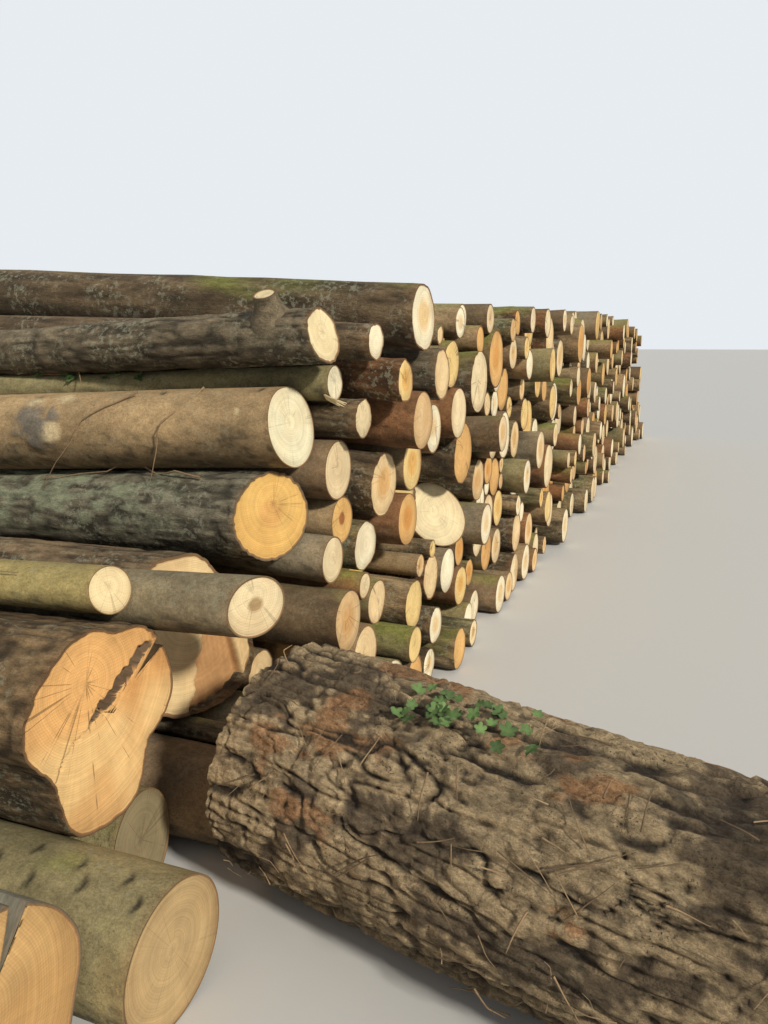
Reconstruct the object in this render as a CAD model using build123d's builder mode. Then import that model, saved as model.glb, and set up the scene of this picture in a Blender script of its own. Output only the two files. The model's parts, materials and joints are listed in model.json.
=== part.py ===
"""A stack of roundwood at the roadside: three-metre logs laid side by side, every one resting on
those below it, and a heavy oak butt lying askew in front.  Millimetres, X along the logs with
the sawn face towards +X, Y along the stack away from its near end, Z up from the ground.
"""
import math
import os
import random
from dataclasses import dataclass

from build123d import *

# Driving sizes
LOG_LENGTH = 3000           # what the logs are cut to
STACK_LENGTH = 14400        # along the ground, to the far end
NEAR_HEIGHT = 1760          # top of the stack at its near end
FAR_HEIGHT = 2000           # and at its far end
END_SLOPE = 0.75            # rise over run of the two open ends
END_START = 500             # where the near open end starts to rise
END_STEP = 250              # height of the outermost log of an open end
PLAIN_DIAMETER = 235        # the ordinary stem
PLAIN_SPREAD = 60           # how much ordinary stems differ
PLAIN_LEAST, PLAIN_MOST = 150, 330
FIRST_PLAIN = 2450          # nearer than this every log has its measured place
PLAIN_REACH = 150           # how far from its turn along the stack a plain log is seated
PLAIN_STEP, PLAIN_SKIP = 40, 90     # how far on the next one is tried, after one that fits or fails
LENGTH_SPREAD = 60          # how much longer or shorter plain logs are cut
PROP_LEAST, PROP_MOST = 110, 240    # stems that fill in under the ones that can be told apart
PROP_REACH = 250            # how far from under such a log its prop is seated
UNEVENNESS = 70             # how much the sawn ends stand in and out of the face
CLEARANCE = 0.3             # between a log and what it rests on
STRAYING = 300              # most that a log wanders sideways or upwards from front to back
MISS = 70                   # a log lies this near to its measured place, or is propped up
REACH, FAR_REACH, LAST_REACH = 200, 500, 900    # how far from there it is seated, in three tries
BAYS = 6                    # lengths that the plain logs are reckoned in, for naming
SEED = 11

OAK_END = (0, 1900)         # the oak butt: where its near end stands
OAK_DIAMETER = 720
OAK_THINNING = 60
OAK_TURN = 12               # degrees its far end swings towards the near end of the stack

SEAT_INSET = 250            # the two planes where a log is seated, from either end
FRONT = -SEAT_INSET
BACK = SEAT_INSET - LOG_LENGTH

# The logs that can be told apart at the near end, bottom up: name, diameter at the sawn face, its
# Y, its height above the ground, how far the end stands out of the face, diameter lost on the way
# to the far end.
NEAR_LOGS = [
    ("fork_butt_log", 560, 800, 280, -60, 110),
    ("smooth_beech_log", 360, 1260, 180, 40, 30),
    ("dark_green_log", 320, 1600, 160, -300, 40),
    ("slab_end_log", 300, 1910, 150, -120, -20),
    ("", 340, 2230, 170, -60, 0),
    ("", 290, 2480, 145, -40, 0),
    ("", 300, 2710, 150, -40, 0),
    ("", 220, 2980, 110, -30, 0),
    ("", 180, 3220, 90, -30, 0),
    ("", 220, 3440, 110, 60, 0),
    ("", 140, 3610, 70, 0, 0),
    ("", 160, 3810, 80, 40, 0),
    ("seamed_butt_log", 590, 1460, 630, -320, 80),
    ("", 90, 2080, 45, -200, 0),
    ("cream_butt_log", 580, 2080, 640, -350, 60),
    ("", 180, 4040, 90, -40, 0),
    ("", 210, 4160, 105, -60, 0),
    ("", 240, 4390, 120, 40, 0),
    ("", 200, 4640, 100, 40, 0),
    ("", 260, 4820, 130, 20, 0),
    ("", 260, 5110, 130, 40, 0),
    ("", 180, 5370, 90, 60, 0),
    ("", 240, 5500, 120, 20, 0),
    ("", 200, 3350, 270, -20, 0),
    ("bright_mossy_log", 160, 3010, 280, 0, 10),
    ("", 180, 4260, 280, -120, 0),
    ("", 170, 3530, 300, -220, 0),
    ("", 190, 3700, 230, -380, 0),
    ("", 190, 2410, 350, -420, 0),
    ("", 100, 3370, 690, -40, 0),
    ("", 210, 2860, 410, -400, 0),
    ("plank_end_log", 330, 3790, 770, -40, 20),
    ("yellow_end_log", 270, 3000, 610, -300, 10),
    ("pale_knot_log", 180, 1760, 860, 20, 10),
    ("", 230, 2810, 800, -150, 0),
    ("", 180, 4360, 890, -40, 0),
    ("mossy_wedge_log", 420, 3430, 900, -220, 10),
    ("grey_log", 180, 2540, 860, -150, 20),
    ("orange_heart_log", 190, 2660, 930, -180, 10),
    ("lichen_log", 330, 2330, 990, -240, 10),
    ("", 300, 4710, 1160, -40, 0),
    ("green_log", 140, 1610, 940, -380, 10),
    ("", 230, 3370, 1180, -40, 0),
    ("shadowed_end_log", 230, 2580, 1130, -160, 10),
    ("bent_log", 290, 2390, 1310, -220, -30),
    ("", 170, 3150, 1290, -180, 0),
    ("", 160, 3270, 1400, -140, 0),
    ("", 220, 3100, 1480, 80, 0),
    ("", 240, 4590, 1470, -40, 0),
    ("torn_end_log", 130, 2440, 1480, -150, 20),
    ("lens_end_log", 240, 3290, 1600, -260, 10),
    ("branch_stub_log", 200, 2410, 1560, -80, 10),
    ("", 100, 3130, 1640, 60, 0),
]


@dataclass
class Log:
    """One stem: a disc of it is known in the front plane and one in the back plane."""

    name: str
    r_front: float
    r_back: float
    x_front: float
    x_back: float
    front: tuple = (0, 0)
    back: tuple = (0, 0)

    def disc(self, x):
        """centre Y, centre Z and radius of the stem where X is x"""
        s = (x - BACK) / (FRONT - BACK)
        return (self.back[0] + s * (self.front[0] - self.back[0]),
                self.back[1] + s * (self.front[1] - self.back[1]),
                self.r_back + s * (self.r_front - self.r_back))


# Laying the logs
placed = []
chance = random.Random(SEED)
SHARES = [i / 16 for i in range(17)]    # where along two stems their distance is looked at


def half_width(r, lean, y, z):
    """half the width, in the direction (y, z), of the section that a leaning stem shows"""
    skew = (lean[0] * z - lean[1] * y) ** 2 / (1 + lean[0] ** 2 + lean[1] ** 2)
    return r * math.sqrt(1 - skew)


def gap(log, other):
    """least distance between the sections of two stems over the length they share"""
    lo = max(log.x_back, other.x_back)
    hi = min(log.x_front, other.x_front)
    (ya, za, ra), (yb, zb, rb) = log.disc(lo), log.disc(hi)
    (yc, zc, rc), (yd, zd, rd) = other.disc(lo), other.disc(hi)
    lean = ((yb - ya) / (hi - lo), (zb - za) / (hi - lo))
    other_lean = ((yd - yc) / (hi - lo), (zd - zc) / (hi - lo))
    least = math.inf
    for s in SHARES:
        y = ya - yc + s * (yb - yd - ya + yc)
        z = za - zc + s * (zb - zd - za + zc)
        d = math.hypot(y, z)
        if d - ra - rc - s * (rb + rd - ra - rc) < least:
            width = half_width(ra + s * (rb - ra), lean, y / d, z / d)
            other_width = half_width(rc + s * (rd - rc), other_lean, y / d, z / d)
            least = min(least, d - width - other_width)
    return least


def meeting_points(a, b, r):
    """centres from which a disc of radius r touches both discs a and b"""
    ra, rb = a[2] + r, b[2] + r
    dy, dz = b[0] - a[0], b[1] - a[1]
    d = math.hypot(dy, dz)
    if d > ra + rb or d < abs(ra - rb) or d == 0:
        return []
    along = (ra * ra - rb * rb + d * d) / (2 * d)
    across = math.sqrt(max(ra * ra - along * along, 0))
    foot = (a[0] + along * dy / d, a[1] + along * dz / d)
    off = (-across * dz / d, across * dy / d)
    return [(foot[0] + off[0], foot[1] + off[1]), (foot[0] - off[0], foot[1] - off[1])]


def held(p, a, b):
    """weight at p is carried by a on one side and b on the other, bark friction included"""
    left, right = (a, b) if a[0] < b[0] else (b, a)
    grip = 0.35
    return (p[0] - left[0]) >= -grip * abs(p[1] - left[1]) and \
        (right[0] - p[0]) >= -grip * abs(p[1] - right[1]) and \
        (p[1] > left[1] or p[1] > right[1])


def resting_places(discs, r, y, reach):
    """places within reach of y where a disc of radius r lies still, on the ground or on others"""
    near = [d for d in discs if abs(d[0] - y) < d[2] + r + reach]
    found = [(y, r)] if not near else []
    for a in near:
        run = (a[2] + r) ** 2 - (a[1] - r) ** 2
        if run > 0:
            found += [(a[0] + math.sqrt(run), r), (a[0] - math.sqrt(run), r)]
    for i, a in enumerate(near):
        for b in near[i + 1:]:
            found += [p for p in meeting_points(a, b, r) if p[1] > r and held(p, a, b)]
    return [p for p in found if abs(p[0] - y) <= reach and
            all(math.hypot(p[0] - d[0], p[1] - d[1]) > d[2] + r - 1e-6 for d in near)]


def nearest(places, p):
    return min(places, key=lambda q: math.dist(q, p), default=None)


def leaning_place(discs, r, wish):
    """the place nearest to wish where a disc of radius r lies on a single other one"""
    found = []
    for d in discs:
        s = (d[2] + r) / max(math.dist(d[:2], wish), 1)
        p = (d[0] + s * (wish[0] - d[0]), d[1] + s * (wish[1] - d[1]))
        if p[1] > max(d[1], r) and all(math.dist(p, o[:2]) > o[2] + r - 1e-6 for o in discs):
            found.append(p)
    return nearest(found, wish)


def settle(log, fronts, backs, front, back, cradled):
    """seat the log near two given places, a little higher where it would cross another log"""
    swell = CLEARANCE
    near = [o for o in placed if min(math.dist(o.front, front), math.dist(o.back, back))
            < o.r_front + log.r_front + 2 * STRAYING]
    for _ in range(10):
        front = nearest(resting_places(fronts, log.r_front + swell, front[0], MISS), front)
        if cradled:
            back = nearest(resting_places(backs, log.r_back + swell, back[0], MISS), back)
        else:
            back = leaning_place(backs, log.r_back + swell, back)
        if front is None or back is None or math.dist(front, back) > STRAYING:
            return False
        log.front, log.back = front, back
        tight = min([gap(log, o) for o in near] or [CLEARANCE])
        if 0.4 * CLEARANCE < tight < 1.6 * CLEARANCE:
            return True
        swell += CLEARANCE - tight
    return False


def seat(log, y, z=None, reach=REACH, highest=math.inf):
    """lay the log nearest to (y, z), or as low as it goes when z is None"""
    near = [o for o in placed if abs(o.front[0] - y) < reach + 3 * STRAYING]
    fronts = [o.disc(FRONT) for o in near]
    backs = [o.disc(BACK) for o in near]
    places = resting_places(fronts, log.r_front + CLEARANCE, y, reach)
    if z is None:
        places.sort(key=lambda p: p[1] + 0.15 * abs(p[0] - y))
    else:
        places.sort(key=lambda p: math.dist(p, (y, z)))
    for front in places[:4]:
        if front[1] > highest:
            continue
        behind = resting_places(backs, log.r_back + CLEARANCE, front[0], STRAYING)
        behind.sort(key=lambda p: math.dist(p, front))
        for back in behind[:3]:
            if settle(log, fronts, backs, front, back, True):
                return True
        if settle(log, fronts, backs, front, front, False):
            return True
    return False


def lay(name, d, y, z, out, thinning):
    """lay one log near its measured place, on plain stems where it would sink below it"""
    log = Log(name, d / 2, (d - thinning) / 2, out, out - LOG_LENGTH)
    for _ in range(5):
        laid = seat(log, y, z)
        if laid and math.dist(log.front, (y, z)) < MISS or z < d:
            break
        sag = z - log.front[1] if laid else PROP_MOST
        if sag < MISS * 0.7:
            break
        size = min(max(sag, PROP_LEAST), PROP_MOST)
        prop = Log("", size / 2, size / 2, -UNEVENNESS, -UNEVENNESS - LOG_LENGTH)
        if not seat(prop, y + chance.uniform(-MISS, MISS), z - d / 2 - size / 2, PROP_REACH):
            break
        placed.append(prop)
    if seat(log, y, z) or name and (seat(log, y, z, FAR_REACH) or seat(log, y, None, LAST_REACH)):
        placed.append(log)


def top_at(y):
    """height of the finished stack above the ground at Y"""
    level = NEAR_HEIGHT + (FAR_HEIGHT - NEAR_HEIGHT) * y / STACK_LENGTH
    return min(level, END_STEP + END_SLOPE * (y - END_START), END_STEP + END_SLOPE * (STACK_LENGTH - y))


def lay_plain():
    """course by course along the stack until it is full"""
    for course in range(math.ceil(FAR_HEIGHT / PLAIN_LEAST)):
        y = FIRST_PLAIN
        while y < STACK_LENGTH:
            d = min(max(chance.gauss(PLAIN_DIAMETER, PLAIN_SPREAD), PLAIN_LEAST), PLAIN_MOST)
            out = max(-2 * UNEVENNESS, min(2 * UNEVENNESS, chance.gauss(0, UNEVENNESS)))
            if y < OAK_END[1] + OAK_DIAMETER:
                out = min(out, -UNEVENNESS)      # behind the end of the oak butt
            log = Log("", d / 2, d / 2, out, out - LOG_LENGTH + chance.uniform(-LENGTH_SPREAD, LENGTH_SPREAD))
            if seat(log, y, None, PLAIN_REACH, top_at(y) - d / 2):
                placed.append(log)
                y = max(y + PLAIN_STEP, log.front[0] + 0.6 * d)
            else:
                y += PLAIN_SKIP


for row in NEAR_LOGS:
    lay(*row)
lay_plain()

# Solids
# The ends that are not sawn square, and the marks of felling, as the photograph shows them.
# name: degrees that the face turns towards the near end of the stack, degrees that it tilts up
OBLIQUE_ENDS = {
    "cream_butt_log": (24, 6),
    "lichen_log": (20, 4),
    "pale_knot_log": (24, 0),
    "mossy_wedge_log": (34, 16),
    "plank_end_log": (30, 20),
    "branch_stub_log": (6, 13),
    "lens_end_log": (10, 15),
    "bent_log": (4, 8),
    "green_log": (12, 10),
    "dark_green_log": (-10, 4),
}
# name: degrees round the stem, seen from the sawn face, from +Y towards +Z; depth; mouth
SEAMS = {
    "seamed_butt_log": (33, 250, 55),
    "fork_butt_log": (62, 190, 70),
}
STEM_SPARE = 200                    # sawn off again, to square the ends
FELLING_STEP = (110, 190, 70)       # across, up and into the cream butt
STUB_BACK = 170                     # the branch stub's place behind the end
STUB_TURN = 118                     # degrees round the stem
STUB_DIAMETER = 84
STUB_REACH = 62                     # how far it stands out of the bark


def across(log, x):
    """the plane across the stack at x, centred on the log, and the log's radius there"""
    y, z, r = log.disc(x)
    return Plane(origin=(x, y, z), x_dir=(0, 1, 0), z_dir=(1, 0, 0)), r


def end_plane(log):
    """the plane of the front end: square to the stack, or askew with its foremost point kept"""
    plane, r = across(log, log.x_front)
    swing, tilt = (math.radians(a) for a in OBLIQUE_ENDS.get(log.name, (0, 0)))
    face = Vector(math.cos(swing) * math.cos(tilt), -math.sin(swing) * math.cos(tilt), math.sin(tilt))
    setback = r * math.sqrt(max(1 - face.X ** 2, 0)) / face.X
    return Plane(origin=plane.origin - Vector(setback, 0, 0),
                 x_dir=(math.sin(swing), math.cos(swing), 0), z_dir=face)


def round_stem(log):
    """round and evenly tapered, sawn off at both ends"""
    (y, z, r), (y_back, z_back, r_back) = log.disc(log.x_front), log.disc(log.x_back)
    axis = Vector(log.x_back - log.x_front, y_back - y, z_back - z)
    square = abs(axis.X) / axis.length      # a leaning stem is this much slimmer than its sections
    spare = 0.5 * STEM_SPARE * axis.normalized()
    along = Plane(origin=Vector(log.x_front, y, z) - spare, x_dir=(0, 1, 0), z_dir=axis)
    length = axis.length + STEM_SPARE
    with BuildPart(along) as stem:
        if abs(r - r_back) < 0.01:
            Cylinder(r * square, length, align=(Align.CENTER, Align.CENTER, Align.MIN))
        else:
            taper = (r_back - r) * square / axis.length * STEM_SPARE / 2
            Cone(r * square - taper, r_back * square + taper, length,
                 align=(Align.CENTER, Align.CENTER, Align.MIN))
    with BuildPart() as sawn:
        add(stem)
        split(bisect_by=end_plane(log), keep=Keep.BOTTOM)
        split(bisect_by=across(log, log.x_back)[0], keep=Keep.TOP)
    return sawn.part


def seamed(log, stem):
    """a bark-filled seam between two stems grown together, closing towards the far end"""
    turn, depth, mouth = SEAMS[log.name]
    with BuildPart() as grown:
        add(stem)
        for x, share in ((log.x_front, 1), (log.x_back, 0.35)):
            plane, r = across(log, x)
            with BuildSketch(plane.rotated((0, 0, turn))):
                with BuildLine():
                    Polyline((r - share * depth, 0), (r + mouth, -share * mouth),
                             (r + mouth, share * mouth), close=True)
                make_face()
        loft(ruled=True, mode=Mode.SUBTRACT)
    return grown.part


def felled(log, stem):
    """the step that the felling cuts leave low on the far side of the butt, torn out below it"""
    wide, high, deep = FELLING_STEP
    r = log.disc(log.x_front)[2]
    with BuildPart() as butt:
        add(stem)
        with BuildSketch(end_plane(log)):
            with BuildLine():
                Polyline((r / 4, -r / 8), (r / 4 + wide, -r / 8), (r / 4 + wide, -r / 8 - high * 1.6),
                         (r / 8, -r / 8 - high), close=True)
            make_face()
        extrude(amount=-deep, mode=Mode.SUBTRACT)
    return butt.part


def with_stub(log, stem):
    """a sawn branch stub standing up out of its swollen collar"""
    plane, r = across(log, log.x_front - STUB_BACK)
    out = plane.rotated((0, 0, STUB_TURN)).x_dir
    with BuildPart() as branchy:
        add(stem)
        for height, width in ((0.55 * r, 1.7), (0.98 * r, 1.35), (r + STUB_REACH / 2, 1),
                              (r + STUB_REACH, 0.96)):
            with BuildSketch(Plane(origin=plane.origin + out * height, x_dir=(1, 0, 0), z_dir=out)):
                Circle(STUB_DIAMETER / 2 * width)
        loft()
    return branchy.part


def solid_of(log):
    stem = round_stem(log)
    if log.name in SEAMS:
        stem = seamed(log, stem)
    if log.name == "cream_butt_log":
        stem = felled(log, stem)
    if log.name == "branch_stub_log":
        stem = with_stub(log, stem)
    return stem.solid()


# The heavy oak butt lies askew on the ground in front of the stack, its end against the slab log.
oak_turn = math.radians(OAK_TURN)
oak_plane = Plane(origin=(*OAK_END, OAK_DIAMETER / 2), x_dir=(0, 0, 1),
                  z_dir=(math.cos(oak_turn), -math.sin(oak_turn), -OAK_THINNING / 2 / LOG_LENGTH))
with BuildPart() as oak:
    with BuildSketch(oak_plane):
        Circle(OAK_DIAMETER / 2)
    with BuildSketch(oak_plane.offset(LOG_LENGTH)):
        Circle((OAK_DIAMETER - OAK_THINNING) / 2)
    loft(ruled=True)

# The slab log is cut back until its rim is just clear of that end.
slab_log = next(log for log in placed if log.name == "slab_end_log")
for _ in range(3):
    end, r = across(slab_log, slab_log.x_front)
    rim = r * math.sqrt(1 - oak_plane.z_dir.X ** 2)
    proud = (end.origin - oak_plane.origin).dot(oak_plane.z_dir) + rim + CLEARANCE
    slab_log.x_front -= proud / oak_plane.z_dir.X

# Named stems are nodes of their own; the others share one node for each level of each bay.
nodes = {"foreground_oak_log": [oak.part.solid()]}
LEVELS = ("lower", "middle", "upper")
for log in placed:
    share = (log.front[0] - FIRST_PLAIN) / (STACK_LENGTH - FIRST_PLAIN)
    bay = min(max(int(share * BAYS), 0), BAYS - 1)
    level = LEVELS[min(int(log.front[1] / NEAR_HEIGHT * 3), 2)]
    name = log.name or f"bay_{bay + 1}_{level}_logs"
    nodes.setdefault(name, []).append(solid_of(log))

# The origin is at the middle of the ground under the whole stack.
box = Compound([s for solids in nodes.values() for s in solids]).bounding_box()
middle = Vector(box.center().X, box.center().Y, box.min.Z)
os.makedirs("parts", exist_ok=True)
for name, solids in nodes.items():
    node = Compound(solids).locate(Location(-middle))
    node.label = name
    export_step(node, f"parts/{name}.step")
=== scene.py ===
"""Looks of a roadside stack of roundwood: every stem of the frame gets its bark and its sawn ends.
Metres, in the frame's axes: X along the logs with the sawn face towards +X, Y along the stack away
from its near end, Z up.
"""
import json
import math
from dataclasses import dataclass

import bpy
import numpy as np
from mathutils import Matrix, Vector


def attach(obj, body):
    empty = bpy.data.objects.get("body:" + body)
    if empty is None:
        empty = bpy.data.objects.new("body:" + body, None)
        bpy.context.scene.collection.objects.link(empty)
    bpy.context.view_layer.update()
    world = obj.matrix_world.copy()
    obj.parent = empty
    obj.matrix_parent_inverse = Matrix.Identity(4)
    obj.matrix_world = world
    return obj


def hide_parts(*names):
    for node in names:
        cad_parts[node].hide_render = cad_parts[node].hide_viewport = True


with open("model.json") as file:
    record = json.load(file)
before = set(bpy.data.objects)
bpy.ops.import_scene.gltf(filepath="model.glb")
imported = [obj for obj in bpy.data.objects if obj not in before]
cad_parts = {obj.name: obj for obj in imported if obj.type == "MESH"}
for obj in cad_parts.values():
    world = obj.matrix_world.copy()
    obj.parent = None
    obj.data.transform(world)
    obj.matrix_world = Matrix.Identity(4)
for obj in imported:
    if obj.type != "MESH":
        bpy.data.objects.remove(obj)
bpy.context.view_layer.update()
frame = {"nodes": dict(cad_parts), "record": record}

chance = np.random.default_rng(7)

# The camera stands on the track: where from the sawn end of the lowest smooth log, and how turned.
CAMERA_FROM_BEECH_END = (1.06, -1.26, 1.42)
CAMERA_DOWN = 12.245
CAMERA_LEFT = 22.5
VERTICAL_VIEW = 67.26

# The branch stub: behind the sawn end, degrees round the stem, radius, reach out of the bark.
STUB_BEHIND, STUB_TURN, STUB_RADIUS, STUB_REACH = 0.17, 118, 0.042, 0.062

# Colours, linear.  Wood of the sawn ends:
CREAM = (0.80, 0.64, 0.38)
PALE = (0.86, 0.76, 0.52)
YELLOW = (0.80, 0.57, 0.23)
ORANGE = (0.72, 0.42, 0.15)
SALMON = (0.80, 0.44, 0.16)
HEART = (0.42, 0.20, 0.075)
# Bark:
TAN = (0.36, 0.25, 0.13)
BROWN = (0.22, 0.15, 0.085)
OLIVE = (0.25, 0.21, 0.10)
GREY = (0.20, 0.18, 0.13)
DARK = (0.035, 0.028, 0.018)
RUST = (0.26, 0.125, 0.055)
MOSS = (0.25, 0.26, 0.06)
LICHEN = (0.40, 0.40, 0.28)
CRUST = (0.30, 0.32, 0.20)
BLOTCH = (0.60, 0.47, 0.27)
INNER_BARK = (0.30, 0.16, 0.07)
OAK_PLATE = (0.50, 0.365, 0.205)
# painted shade for the depths of the oak's furrows
OAK_FURROW_SHADE = (0.05, 0.037, 0.025)
LEAF = (0.10, 0.16, 0.05)
TWIG = (0.30, 0.20, 0.11)
TORN = (0.42, 0.21, 0.08)
# dark of the grown seam: its included bark, and painted shade in its hollow
SEAM_BARK_AND_SHADE = (0.075, 0.055, 0.04)
BARE_BARK = (0.42, 0.22, 0.10)
BARK_RAGS = (0.085, 0.06, 0.04)
SPLINTER = (0.62, 0.5, 0.3)
CRACK = (0.055, 0.03, 0.015)

# Relief of the bark, from the deepest furrow to the skin, and how far the whole stem swells:
OAK_FURROWS, OAK_SWELL = 0.024, 0.022
ROUGH_FURROWS, ROUGH_SWELL = 0.008, 0.006
SMOOTH_SWELL = 0.006
BARK_STANDS_OUT = 0.002     # of the CAD surface, where no furrow is
NOTCH = 12                  # a dent narrower than this many degrees has sharp sides
SCAR_LENGTH, SCAR_WIDTH, SCAR_DEPTH = 0.010, 0.026, 0.004

# The sawn ends:
RING_SPACING = 0.0065
SAW_MARKS = 0.003
FELLED_DEPTH, LOBE_RISE = 0.055, 0.035      # the torn step, and how much less its outer lobe is sunk
SEAM_DEPTH, SEAM_DEPTH_INSIDE = 0.006, 0.035

# Ordinary logs: the bays that are near enough for a finer mesh, and both meshes.
NEAR_BAYS = 2
NEAR_MESH = {"around": 30, "lengthwise": 16, "rings": 4}
FAR_MESH = {"around": 20, "lengthwise": 8, "rings": 2}
BACK_RINGS = 2

# What has caught on the logs: how many of each, and how thick in metres.
SPLINTERS, IVY_LEAVES, OAK_TWIGS, OAK_LEAVES = 16, 34, 90, 34
TWIG_THICKNESS, SPLINTER_THICKNESS = 0.0045, 0.004

# Stage:
FLOOR_REACH, FLOOR_COLOUR = 300, (0.62, 0.61, 0.58)
SUN_STRENGTH, SUN_SPREAD, SUN_COLOUR = 3.3, 5, (1.0, 0.95, 0.86)
SUN_FROM = (0.80, -0.42, 0.52)
SKY_STRENGTH, SKY_COLOUR = 0.42, (0.80, 0.86, 0.93)
BACKDROP = (0.80, 0.84, 0.88)


# Noise


def noise(points, seed=0):
    """smooth noise from 0 to 1"""
    cell = np.floor(points).astype(np.int64)
    f = points - cell
    f = f * f * (3 - 2 * f)
    total = 0
    for corner in np.ndindex(2, 2, 2):
        h = (cell + corner) @ np.array([73856093, 19349663, 83492791]) + seed * 668265263
        h = ((h ^ (h >> 13)) * 1274126177) & 0x7FFFFFFF
        h = ((h ^ (h >> 15)) * 2246822519) & 0x7FFFFFFF
        weight = np.prod(np.where(corner, f, 1 - f), axis=-1)
        total = total + weight * ((h >> 8) & 0xFFFF) / 0xFFFF
    return total


def fractal(points, seed=0, octaves=3):
    parts = [noise(points * 2 ** i, seed + i) / 2 ** i for i in range(octaves)]
    return sum(parts) / (2 - 2 ** (1 - octaves))


def ridges(points, seed=0):
    """1 on a net of lines, 0 far from them"""
    return 1 - np.abs(2 * noise(points, seed) - 1)


def ramp(value, low, high):
    """0 below low, 1 above high, smooth between"""
    t = np.clip((value - low) / (high - low), 0, 1)
    return t * t * (3 - 2 * t)


def blend(a, b, share):
    share = np.asarray(share)[..., None]
    return np.asarray(a) * (1 - share) + np.asarray(b) * share


# The stems of the frame


def separate_logs(node):
    """the points of each log in a CAD node"""
    mesh = frame["nodes"][node].data
    points = np.empty(len(mesh.vertices) * 3)
    mesh.vertices.foreach_get("co", points)
    points = points.reshape(-1, 3)
    edges = np.empty(len(mesh.edges) * 2, int)
    mesh.edges.foreach_get("vertices", edges)
    weld = np.unique(np.round(points, 5), axis=0, return_inverse=True)[1].ravel()
    a, b = weld[edges.reshape(-1, 2)].T
    label = np.arange(weld.max() + 1)
    while True:
        lower = label.copy()
        np.minimum.at(lower, a, label[b])
        np.minimum.at(lower, b, label[a])
        lower = lower[lower]
        if (lower == label).all():
            break
        label = lower
    return [points[label[weld] == i] for i in np.unique(label)]


class Stem:
    """One log: a tapered round stem between its back end and the plane of its front end."""

    END_WINDOW = 0.11       # what lies further back than this may be a branch

    def __init__(self, points):
        middle = points.mean(0)
        along = np.linalg.svd(points - middle, full_matrices=False)[2][0]
        along = along * np.sign(along[0])
        askew = abs(along[1]) > 0.15
        side = np.cross((0, 0, 1), along)
        side /= np.linalg.norm(side)
        self.turn = np.array([along, side, np.cross(along, side)]) if askew else np.eye(3)
        self.origin = middle
        local = (points - middle) @ self.turn.T
        self.x_back = local[:, 0].min()
        back = local[:, 0] < self.x_back + 1e-3
        front = local[:, 0] > local[:, 0].max() - self.END_WINDOW
        self.length = local[front, 0].mean() - self.x_back
        ends = local[back | front]
        keep = np.ones(len(ends), bool)
        for limit in (0.06, 0.02, 0.006, 0.002):
            x, y, z = ends[keep].T
            x = x - self.x_back
            terms = np.stack([2 * y, 2 * z, 2 * x * y, 2 * x * z, x * 0 + 1, x, x * x], 1)
            f = np.linalg.lstsq(terms, y * y + z * z, rcond=None)[0]
            self.centre, self.lean = f[:2], f[2:4]
            c = self.centre + self.lean * self.length
            self.r_back = math.sqrt(max(f[4] + f[:2] @ f[:2], 1e-6))
            self.r_front = math.sqrt(max(f[4:] @ (1, self.length, self.length ** 2) + c @ c, 1e-6))
            off = np.hypot(*(ends[:, 1:] - self.axis(ends[:, 0])).T) - self.radius(ends[:, 0])
            keep = np.abs(off) < limit
        rim = ends[keep & (ends[:, 0] > self.x_back + 0.5)]
        good = np.ones(len(rim), bool)
        for limit in (0.03, 0.01, 0.003):
            terms = np.column_stack([np.ones(good.sum()), rim[good, 1:]])
            self.cut = np.linalg.lstsq(terms, rim[good, 0], rcond=None)[0]
            good = np.abs(self.cut[0] + rim[:, 1:] @ self.cut[1:] - rim[:, 0]) < limit

    def axis(self, x):
        return self.centre + np.asarray(x - self.x_back)[..., None] * self.lean

    def radius(self, x):
        return self.r_back + (x - self.x_back) * (self.r_front - self.r_back) / self.length

    def front(self, y, z):
        """where the front end is, at y and z"""
        return self.cut[0] + self.cut[1] * y + self.cut[2] * z

    def point(self, share, angle, proud=0):
        """on the bark, share 0 at the back end and 1 at the front one"""
        share, angle = np.broadcast_arrays(np.asarray(share, float), np.asarray(angle, float))
        ray = np.stack([np.cos(angle), np.sin(angle)], -1)
        x = np.full(share.shape, self.x_back + self.length)
        for _ in range(4):
            yz = self.axis(x) + ray * self.radius(x)[..., None]
            x = self.front(yz[..., 0], yz[..., 1])
        x = self.x_back + share * (x - self.x_back)
        yz = self.axis(x) + ray * (self.radius(x) + proud)[..., None]
        return np.concatenate([x[..., None], yz], -1)

    def placed(self, local):
        return local @ self.turn + self.origin


# Meshes


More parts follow.
